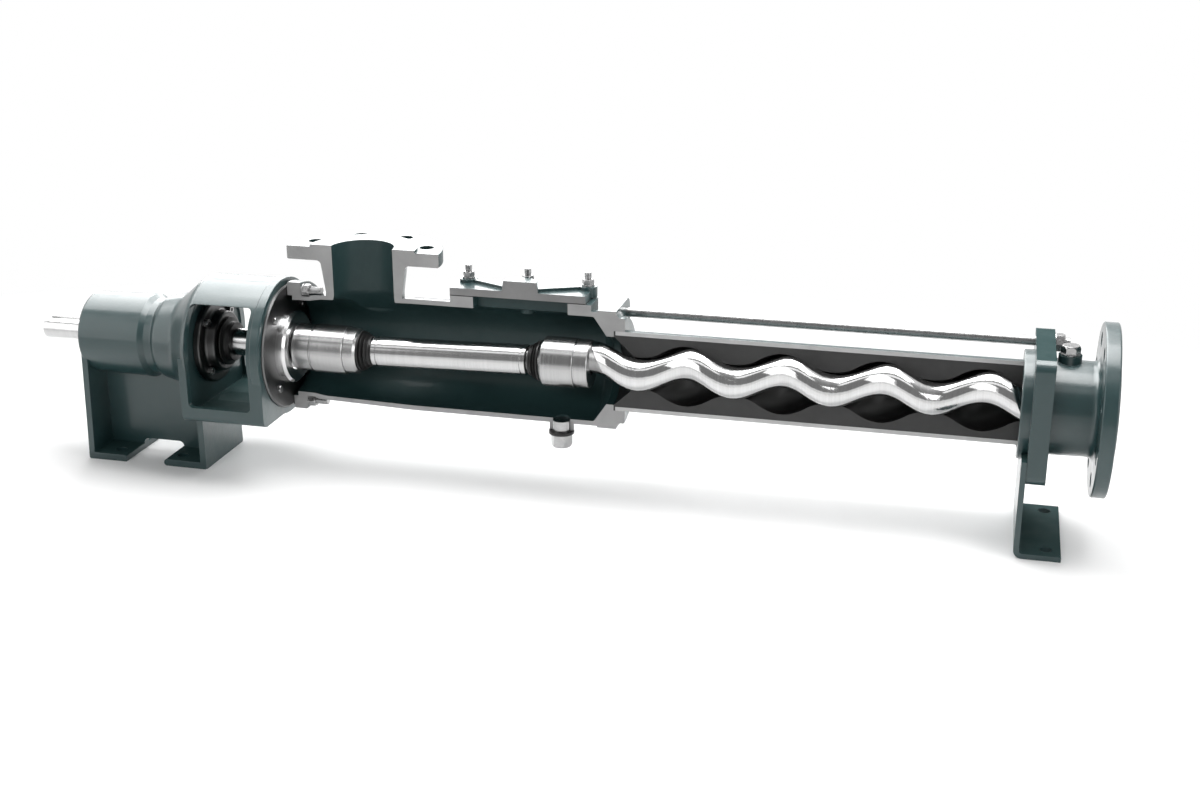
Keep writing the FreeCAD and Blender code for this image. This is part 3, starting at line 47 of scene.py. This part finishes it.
# Shader building blocks.
class Net:
    """a node tree and the few node shapes that the finishes, the floor and the world use"""

    def __init__(self, tree):
        self.tree = tree
        self.where = self.node("TexCoord").outputs

    def node(self, kind):
        return self.tree.nodes.new("ShaderNode" + kind)

    def link(self, out, inp):
        self.tree.links.new(out, inp)

    def stretched(self, scale):
        """object coordinates with each axis scaled"""
        node = self.node("Mapping")
        node.inputs["Scale"].default_value = scale
        self.link(self.where["Object"], node.inputs["Vector"])
        return node.outputs["Vector"]

    def noise(self, scale, detail=4.0, rough=0.55, vector=None):
        node = self.node("TexNoise")
        node.inputs["Scale"].default_value = scale
        node.inputs["Detail"].default_value = detail
        node.inputs["Roughness"].default_value = rough
        self.link(vector or self.where["Object"], node.inputs["Vector"])
        return node.outputs["Fac"]

    def ramp(self, fac, dark, light, start=0.3, end=0.7):
        """dark colour up to start, light one from end on"""
        node = self.node("ValToRGB")
        first, last = node.color_ramp.elements
        first.position, first.color = start, dark
        last.position, last.color = end, light
        self.link(fac, node.inputs["Fac"])
        return node.outputs["Color"]

    def spread(self, fac, low, high, start=0.3, end=0.7):
        """low up to start, high from end on"""
        node = self.node("MapRange")
        for key, value in (("From Min", start), ("From Max", end), ("To Min", low),
                           ("To Max", high)):
            node.inputs[key].default_value = value
        self.link(fac, node.inputs["Value"])
        return node.outputs["Result"]

    def bump(self, height, strength, distance, normal=None):
        node = self.node("Bump")
        node.inputs["Strength"].default_value = strength
        node.inputs["Distance"].default_value = distance
        self.link(height, node.inputs["Height"])
        if normal is not None:
            self.link(normal, node.inputs["Normal"])
        return node.outputs["Normal"]

    def soft_edges(self, radius, samples=4):
        node = self.node("Bevel")
        node.samples = samples
        node.inputs["Radius"].default_value = radius
        return node.outputs["Normal"]

    def maths(self, operation, first, second):
        node = self.node("Math")
        node.operation = operation
        self.link(first, node.inputs[0])
        self.link(second, node.inputs[1])
        return node.outputs["Value"]

    def ray_is(self, *kinds):
        """1 for the named kinds of ray, 0 for the rest"""
        path = self.node("LightPath")
        total = path.outputs[kinds[0]]
        for kind in kinds[1:]:
            total = self.maths("MAXIMUM", total, path.outputs[kind])
        return total

    def mixed(self, fac, first, second):
        """first shader where fac is 0, second where it is 1"""
        node = self.node("MixShader")
        self.link(fac, node.inputs["Fac"])
        self.link(first, node.inputs[1])
        self.link(second, node.inputs[2])
        return node.outputs["Shader"]


class Shader(Net):
    """one material"""

    def __init__(self, name):
        self.mat = bpy.data.materials.new(name)
        self.mat.use_nodes = True
        super().__init__(self.mat.node_tree)
        self.bsdf = next(n for n in self.tree.nodes if n.type == "BSDF_PRINCIPLED")

    def put(self, **values):
        for key, value in values.items():
            self.bsdf.inputs[key.replace("_", " ")].default_value = value

    def colour(self, out):
        self.link(out, self.bsdf.inputs["Base Color"])

    def rough(self, out):
        self.link(out, self.bsdf.inputs["Roughness"])

    def normal(self, out):
        self.link(out, self.bsdf.inputs["Normal"])


# Finishes.
def paint(name, dark, light, rough=(0.30, 0.42), coat=0.5, shine=0.5):
    """petrol green two-pack paint over a sand casting"""
    s = Shader(name)
    tone = s.noise(scale=9.0, detail=5.0)
    s.colour(s.ramp(tone, dark, light, start=0.30, end=0.72))
    s.rough(s.spread(s.noise(scale=45.0), *rough))
    sand = s.noise(scale=420.0, detail=3.0)
    waves = s.noise(scale=60.0, detail=2.0)
    skin = s.bump(sand, strength=0.25, distance=0.0005, normal=s.soft_edges(0.0012))
    s.normal(s.bump(waves, strength=0.12, distance=0.002, normal=skin))
    s.put(Coat_Weight=coat, Coat_Roughness=0.14, Specular_IOR_Level=shine)
    return s.mat


def turned_steel(name, tone, rough, depth=0.012):
    """bright steel with the fine rings that a lathe leaves round the pump axis"""
    s = Shader(name)
    rings = s.stretched((900.0, 2.0, 2.0))
    lines = s.noise(scale=1.0, detail=2.0, rough=0.5, vector=rings)
    s.colour(s.ramp(lines, grey(tone * 0.88), grey(tone)))
    s.rough(s.spread(lines, rough * 0.94, rough * 1.08))
    edges = s.soft_edges(0.0004, samples=8)
    s.normal(s.bump(lines, strength=depth, distance=0.00004, normal=edges))
    s.put(Metallic=1.0)
    return s.mat


def plated(name, low, high, rough):
    """plated fastener, or a bright metal without a turned surface"""
    s = Shader(name)
    s.colour(s.ramp(s.noise(scale=160.0), low, high))
    s.rough(s.spread(s.noise(scale=500.0, detail=3.0), rough * 0.8, rough * 1.25))
    grain = s.noise(scale=900.0, detail=2.0)
    s.normal(s.bump(grain, strength=0.12, distance=0.0002, normal=s.soft_edges(0.0005)))
    s.put(Metallic=1.0)
    return s.mat


def cut_iron(name, low, high, rough=0.5):
    """sawn and filed section through a casting"""
    s = Shader(name)
    filed = s.stretched((1400.0, 60.0, 18.0))
    strokes = s.noise(scale=1.0, rough=0.6, vector=filed)
    grain = s.noise(scale=700.0, detail=3.0)
    s.colour(s.ramp(s.noise(scale=30.0), low, high))
    s.rough(s.spread(grain, rough * 0.85, rough * 1.2))
    skin = s.bump(grain, strength=0.10, distance=0.0002)
    s.normal(s.bump(strokes, strength=0.18, distance=0.0002, normal=skin))
    s.put(Metallic=0.15)
    return s.mat


def rubber(name, low, high, rough):
    """black rubber, cut or moulded"""
    s = Shader(name)
    s.colour(s.ramp(s.noise(scale=40.0), low, high))
    s.rough(s.spread(s.noise(scale=90.0, detail=3.0), rough * 0.85, rough * 1.15))
    grain = s.noise(scale=1200.0, detail=2.0)
    s.normal(s.bump(grain, strength=0.14, distance=0.0002, normal=s.soft_edges(0.0008)))
    s.put(Specular_IOR_Level=0.4)
    return s.mat


PAINT = paint("pump_paint", rgba(0.016, 0.042, 0.044), rgba(0.022, 0.053, 0.055))
# Painted shade: a slightly darker, matt copy of the paint without its coat, for the low upward
# faces and the discharge casing's flat tops, so that they show no bright reflection and look
# shaded.
SHADE_DULLED_PAINT = paint("shade_dulled_paint", rgba(0.016, 0.040, 0.040), rgba(0.022, 0.050, 0.050),
                   rough=(0.75, 0.9), coat=0.0, shine=0.12)
# Painted shade: a darker, less glossy copy of the paint for the suction casing's inside faces and
# the sideways faces of its nozzle, for the shade inside the casing.
SHADED_INNER_PAINT = paint("shaded_inner_paint", rgba(0.013, 0.034, 0.035), rgba(0.018, 0.044, 0.045),
                    rough=(0.42, 0.52), coat=0.1, shine=0.35)
CUT = cut_iron("cut_face", grey(0.27), grey(0.33))
CUT_COVER = cut_iron("cut_cover", grey(0.17), grey(0.22))
CUT_STEEL = cut_iron("cut_steel", grey(0.40), grey(0.48), rough=0.42)
CUT_RUBBER = rubber("cut_rubber", grey(0.026), grey(0.033), rough=0.5)
BORE_RUBBER = rubber("bore_rubber", grey(0.008), grey(0.012), rough=0.36)
RUBBER = rubber("seal_rubber", grey(0.010), grey(0.016), rough=0.45)
STEEL = turned_steel("turned_steel", tone=0.48, rough=0.24)
ROD_STEEL = turned_steel("rod_steel", tone=0.60, rough=0.18)
SEAT_STEEL = turned_steel("seat_steel", tone=0.70, rough=0.20)
SHINE = turned_steel("ground_steel", tone=0.64, rough=0.13, depth=0.006)
GREY_STEEL = turned_steel("machined_cover", tone=0.15, rough=0.36)
DARK_STEEL = turned_steel("seal_housing_steel", tone=0.10, rough=0.36)
ZINC = plated("zinc_plate", grey(0.30), grey(0.40), rough=0.30)
BRONZE = plated("bronze", rgba(0.42, 0.27, 0.12), rgba(0.52, 0.34, 0.16), rough=0.35)
PLUG = plated("plug_metal", grey(0.36), grey(0.44), rough=0.22)

# Nodes that are not named here are fasteners and get ZINC.
FINISH = {
    "bearing_bracket": PAINT, "suction_casing": PAINT, "inspection_cover": PAINT,
    "discharge_casing": PAINT, "support_foot": PAINT, "bearing_cover": DARK_STEEL,
    "seal_cover": GREY_STEEL, "stator_tube": PAINT, "stator_lining": BORE_RUBBER,
    "shaft_lip_seals": RUBBER, "slinger_ring": RUBBER, "joint_boots": RUBBER,
    "cover_gasket": RUBBER, "casing_seal_ring": RUBBER, "drain_washer": RUBBER,
    "bearing_cages": BRONZE, "rod_bushings": BRONZE, "rotor": SHINE, "bearing_balls": SHINE,
    "seal_seat": SEAT_STEEL, "drive_shaft": ROD_STEEL, "drive_joint_head": STEEL,
    "drive_joint_sleeve": STEEL, "drive_joint_pin": STEEL, "rotor_joint_head": STEEL,
    "rotor_joint_sleeve": STEEL, "rotor_joint_pin": STEEL, "coupling_rod": ROD_STEEL,
    "seal_rotating_ring": STEEL, "seal_sleeve": STEEL, "bearing_outer_rings": STEEL,
    "bearing_inner_rings": STEEL, "bearing_spacer": STEEL, "bearing_shim": STEEL,
    "bearing_locknut": STEEL, "shaft_circlip": STEEL, "drain_plug": PLUG, "gauge_plug": PLUG,
}
CUT_FINISH = {"suction_casing": CUT, "inspection_cover": CUT_COVER, "stator_tube": CUT_STEEL,
              "stator_lining": CUT_RUBBER, "cover_gasket": RUBBER, "casing_seal_ring": RUBBER}

# Faces that get a darker, duller copy of their node's paint as painted shade, instead of the paint
# on the rest of their node.
LEDGE_TOP = AXIS_Z - 0.035       # foot tops and the lantern's floor lie below this height
PORT_RING = AXIS_Z + 0.112       # the nozzle's flange lies above this height
UPWARD = 0.5                     # z of a normal that points up rather than sideways
FLAT_UP = 0.9999                 # z of a normal that points straight up
TOWARDS_VIEWER = -0.02           # y of a normal that faces the open side


def ledge(normal, centre):
    return normal.z > UPWARD and centre.z < LEDGE_TOP


def inside(normal, centre):
    return normal.y < TOWARDS_VIEWER or (centre.z > PORT_RING and abs(normal.z) < UPWARD)


def flat_top(normal, centre):
    return normal.z > FLAT_UP


SHADED_FACE_PAINT = {"bearing_bracket": (SHADE_DULLED_PAINT, ledge), "support_foot": (SHADE_DULLED_PAINT, ledge),
               "discharge_casing": (SHADE_DULLED_PAINT, flat_top), "suction_casing": (SHADED_INNER_PAINT, inside)}


def smooth(mesh, sharp_deg):
    mesh.polygons.foreach_set("use_smooth", [True] * len(mesh.polygons))
    mesh.set_sharp_from_angle(angle=math.radians(sharp_deg))


def dress(name, node):
    """finish of one CAD node, with others on its cut faces and a painted-shade copy of the paint
    on the faces named above
    """
    mesh = node.data
    mesh.materials.clear()
    mesh.materials.append(FINISH.get(name, ZINC))
    if name in CUT_FINISH:
        mesh.materials.append(CUT_FINISH[name])
        for face in mesh.polygons:
            flat = all(abs(mesh.vertices[v].co.y) < CUT_TOL for v in face.vertices)
            face.material_index = 1 if flat else 0
    if name in SHADED_FACE_PAINT:
        finish, chosen = SHADED_FACE_PAINT[name]
        mesh.materials.append(finish)
        slot = len(mesh.materials) - 1
        for face in mesh.polygons:
            if face.material_index == 0 and chosen(face.normal, face.center):
                face.material_index = slot
    smooth(mesh, SMOOTH_DEG)


for node_name, cad_node in NODES.items():
    dress(node_name, cad_node)


# Threads on the ends of studs and rods, drawn on the CAD studs' own sizes.
THREAD_SIDES = 20                # points round a thread
THREAD_STEPS = 5                 # rows of points in one turn of it
THREAD_H = 0.22                  # height of its ridge in parts of the pitch
THREAD_GAP = 0.00002             # its root stands this far off the CAD stud
THREAD_SMOOTH_DEG = 50.0
# Length, stud radius and pitch in metres.
CASING_THREAD = (0.0152, 0.005, 0.0015)
COVER_THREAD = (0.0082, 0.004, 0.00125)
TIE_ROD_THREAD = (0.0056, 0.006, 0.00175)
# Places of the threads in millimetres from the nozzle's centre line and the pump axis.
CASING_STUDS, CASING_THREAD_X, CASING_STUD_RING = 5, -73.8, 73.0
CASING_STUD_DEG, CASING_STUD_STEP_DEG = 5.0, 42.5
COVER_STUDS, COVER_STUD_MID_X, COVER_STUD_STEP = 3, 202.7, 76.5
COVER_STUD_Y, COVER_THREAD_Z = 36.0, 103.8
TIE_RODS, TIE_ROD_THREAD_X, TIE_ROD_OFF = 2, 844.7, 58.5


def thread(name, foot, axis, length, radius, pitch):
    """fine helical ridge round a stud, from foot along axis, running out at its end"""
    rows = max(2, int(length / pitch * THREAD_STEPS))
    lean = Vector(axis).to_track_quat("Z", "Y")
    points = []
    for i in range(rows + 1):
        run = length * i / rows
        ease = min(1.0, (rows - i) / THREAD_STEPS)
        for k in range(THREAD_SIDES):
            turn = (run / pitch - k / THREAD_SIDES) % 1.0
            ridge = THREAD_H * pitch * ease * (1.0 - abs(2.0 * turn - 1.0))
            r = radius + THREAD_GAP + ridge
            angle = 2.0 * math.pi * k / THREAD_SIDES
            points.append(Vector(foot) + lean @ Vector((r * math.cos(angle),
                                                        r * math.sin(angle), run)))
    faces = []
    for i in range(rows):
        low_row = i * THREAD_SIDES
        for k in range(THREAD_SIDES):
            a, b = low_row + k, low_row + (k + 1) % THREAD_SIDES
            faces.append((a, b, b + THREAD_SIDES, a + THREAD_SIDES))
    faces.append(tuple(reversed(range(THREAD_SIDES))))
    faces.append(tuple(range(rows * THREAD_SIDES, (rows + 1) * THREAD_SIDES)))
    mesh = bpy.data.meshes.new(name)
    mesh.from_pydata(points, [], faces)
    mesh.materials.append(ZINC)
    smooth(mesh, THREAD_SMOOTH_DEG)
    piece = bpy.data.objects.new(name, mesh)
    bpy.context.scene.collection.objects.link(piece)
    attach(piece, "frame")


def at(x, y, z):
    """row place of a point given in millimetres about the pump axis"""
    return (x / 1000.0 + PUMP_X, y / 1000.0, z / 1000.0 + AXIS_Z)


for k in range(CASING_STUDS):
    turn = math.radians(CASING_STUD_DEG + CASING_STUD_STEP_DEG * k)
    foot = at(CASING_THREAD_X, CASING_STUD_RING * math.sin(turn),
              CASING_STUD_RING * math.cos(turn))
    thread("casing_stud_thread_%d" % k, foot, (1, 0, 0), *CASING_THREAD)
for k in range(COVER_STUDS):
    foot = at(COVER_STUD_MID_X + COVER_STUD_STEP * (k - 1), COVER_STUD_Y, COVER_THREAD_Z)
    thread("cover_stud_thread_%d" % k, foot, (0, 0, 1), *COVER_THREAD)
for k in range(TIE_RODS):
    foot = at(TIE_ROD_THREAD_X, TIE_ROD_OFF, (2 * k - 1) * TIE_ROD_OFF)
    thread("tie_rod_thread_%d" % k, foot, (1, 0, 0), *TIE_ROD_THREAD)


# Camera, set as the photograph was taken.
PHOTO_WIDE = 1200.0              # pixels
FOCAL = 1600.9                   # focal length in the photograph's pixels
SENSOR = 36.0
CAMERA_AWAY = 1.96094
CLIP_NEAR, CLIP_FAR = 0.05, 60.0
TURN, TILT = math.radians(14.02), math.radians(19.63)
AIM = Vector((0.3030 + PUMP_X, 0.0, -0.03864 + AXIS_Z))
BACK = Vector((math.sin(TURN) * math.cos(TILT), -math.cos(TURN) * math.cos(TILT),
               math.sin(TILT)))
lens = bpy.data.cameras.new("camera")
lens.sensor_fit = "HORIZONTAL"
lens.sensor_width = SENSOR
lens.lens = FOCAL / PHOTO_WIDE * SENSOR
lens.clip_start, lens.clip_end = CLIP_NEAR, CLIP_FAR
camera = bpy.data.objects.new("camera", lens)
bpy.context.scene.collection.objects.link(camera)
camera.location = AIM + BACK * CAMERA_AWAY
camera.rotation_euler = (-BACK).to_track_quat("-Z", "Y").to_euler()
bpy.context.scene.camera = camera


# Floor, world and lights.
FLOOR_HALF = 30.0                # half the side of the floor
FADE_START, FADE_END = 0.45, 0.95
FADE_LONG = 0.62                 # the fade starts farther out along the pump

# Name, place, point it faces, size, watts, whether it lights matt surfaces and
# whether it shows in shiny ones.
PANELS = (
    ("top", (0.1, 0.3, 1.7), (0.0, 0.0, 0.1), (2.4, 0.9), 34.0, True, True),
    ("back", (0.0, 2.2, 0.95), (0.0, 0.0, 0.15), (3.4, 0.9), 46.0, True, False),
    ("backdrop", (-1.35, 2.2, 1.0), (-1.35, 0.0, 0.6), (2.4, 1.0), 36.0, False, True),
    ("front", (-0.5, -2.4, 1.5), (0.0, 0.0, 0.15), (2.2, 0.7), 22.0, True, False),
    ("sky", (-0.7, 0.95, 1.75), (-0.7, 0.95, 0.0), (3.0, 2.5), 140.0, False, True),
    ("strip", (-0.2, -0.85, 1.6), (-0.2, 0.0, 0.15), (3.2, 0.35), 4.4, False, True),
    ("left", (-2.2, -1.3, 1.0), (0.3, 0.0, 0.3), (2.4, 1.9), 26.0, False, True),
    ("right", (2.2, -0.9, 0.8), (0.0, 0.0, 0.15), (0.9, 1.0), 9.0, True, True),
)


def floor():
    """pale floor that takes the shadow near the pump and runs out into plain white"""
    mesh = bpy.data.meshes.new("floor")
    mesh.from_pydata([(-FLOOR_HALF, -FLOOR_HALF, 0), (FLOOR_HALF, -FLOOR_HALF, 0),
                      (FLOOR_HALF, FLOOR_HALF, 0), (-FLOOR_HALF, FLOOR_HALF, 0)],
                     [], [(0, 1, 2, 3)])
    thing = bpy.data.objects.new("floor", mesh)
    bpy.context.scene.collection.objects.link(thing)
    s = Shader("floor")
    s.colour(s.ramp(s.noise(scale=3.0), grey(0.93), grey(0.95)))
    s.put(Roughness=0.9, Specular_IOR_Level=0.1)
    apart = s.node("VectorMath")
    apart.operation = "LENGTH"
    s.link(s.stretched((FADE_LONG, 1.0, 1.0)), apart.inputs[0])
    far = s.spread(apart.outputs["Value"], 0.0, 1.0, FADE_START, FADE_END)
    seen = s.ray_is("Is Camera Ray", "Is Glossy Ray", "Is Transmission Ray")
    glow = s.node("Emission")
    shader = s.mixed(s.maths("MULTIPLY", far, seen), s.bsdf.outputs["BSDF"],
                     glow.outputs["Emission"])
    s.link(shader, s.tree.nodes["Material Output"].inputs["Surface"])
    mesh.materials.append(s.mat)


def studio():
    """grey room, darker in front; the camera sees it white, and so do shiny surfaces behind"""
    world = bpy.data.worlds.new("studio")
    bpy.context.scene.world = world
    world.use_nodes = True
    net = Net(world.node_tree)
    split = net.node("SeparateXYZ")
    net.link(net.where["Generated"], split.inputs["Vector"])
    back = split.outputs["Y"]
    room = net.tree.nodes["Background"]
    room.inputs["Strength"].default_value = 1.0
    half = net.spread(back, 0.0, 1.0, start=-1.0, end=1.0)
    net.link(net.ramp(half, grey(0.16), grey(0.60), start=0.30, end=0.62), room.inputs["Color"])
    white = net.node("Background")
    white.inputs["Color"].default_value = grey(1.0)
    behind = net.spread(back, 0.12, 1.0, start=-0.1, end=0.3)
    shine = net.maths("MULTIPLY", net.ray_is("Is Glossy Ray"), behind)
    seen = net.maths("MAXIMUM", shine, net.ray_is("Is Camera Ray", "Is Transmission Ray"))
    shader = net.mixed(seen, room.outputs["Background"], white.outputs["Background"])
    net.link(shader, net.tree.nodes["World Output"].inputs["Surface"])


def panel(name, where, aim, size, watts, lights, shines):
    """soft box that lights matt surfaces, shows in shiny ones, or both"""
    data = bpy.data.lights.new(name, "AREA")
    data.shape = "RECTANGLE"
    data.size, data.size_y = size
    data.energy = watts
    lamp = bpy.data.objects.new(name, data)
    lamp.location = where
    lamp.rotation_euler = (Vector(aim) - Vector(where)).to_track_quat("-Z", "Y").to_euler()
    lamp.visible_camera = False
    lamp.visible_diffuse = lights
    lamp.visible_glossy = shines
    bpy.context.scene.collection.objects.link(lamp)


floor()
for row in PANELS:
    panel(*row)
studio()
bpy.context.scene.view_settings.view_transform = "Standard"
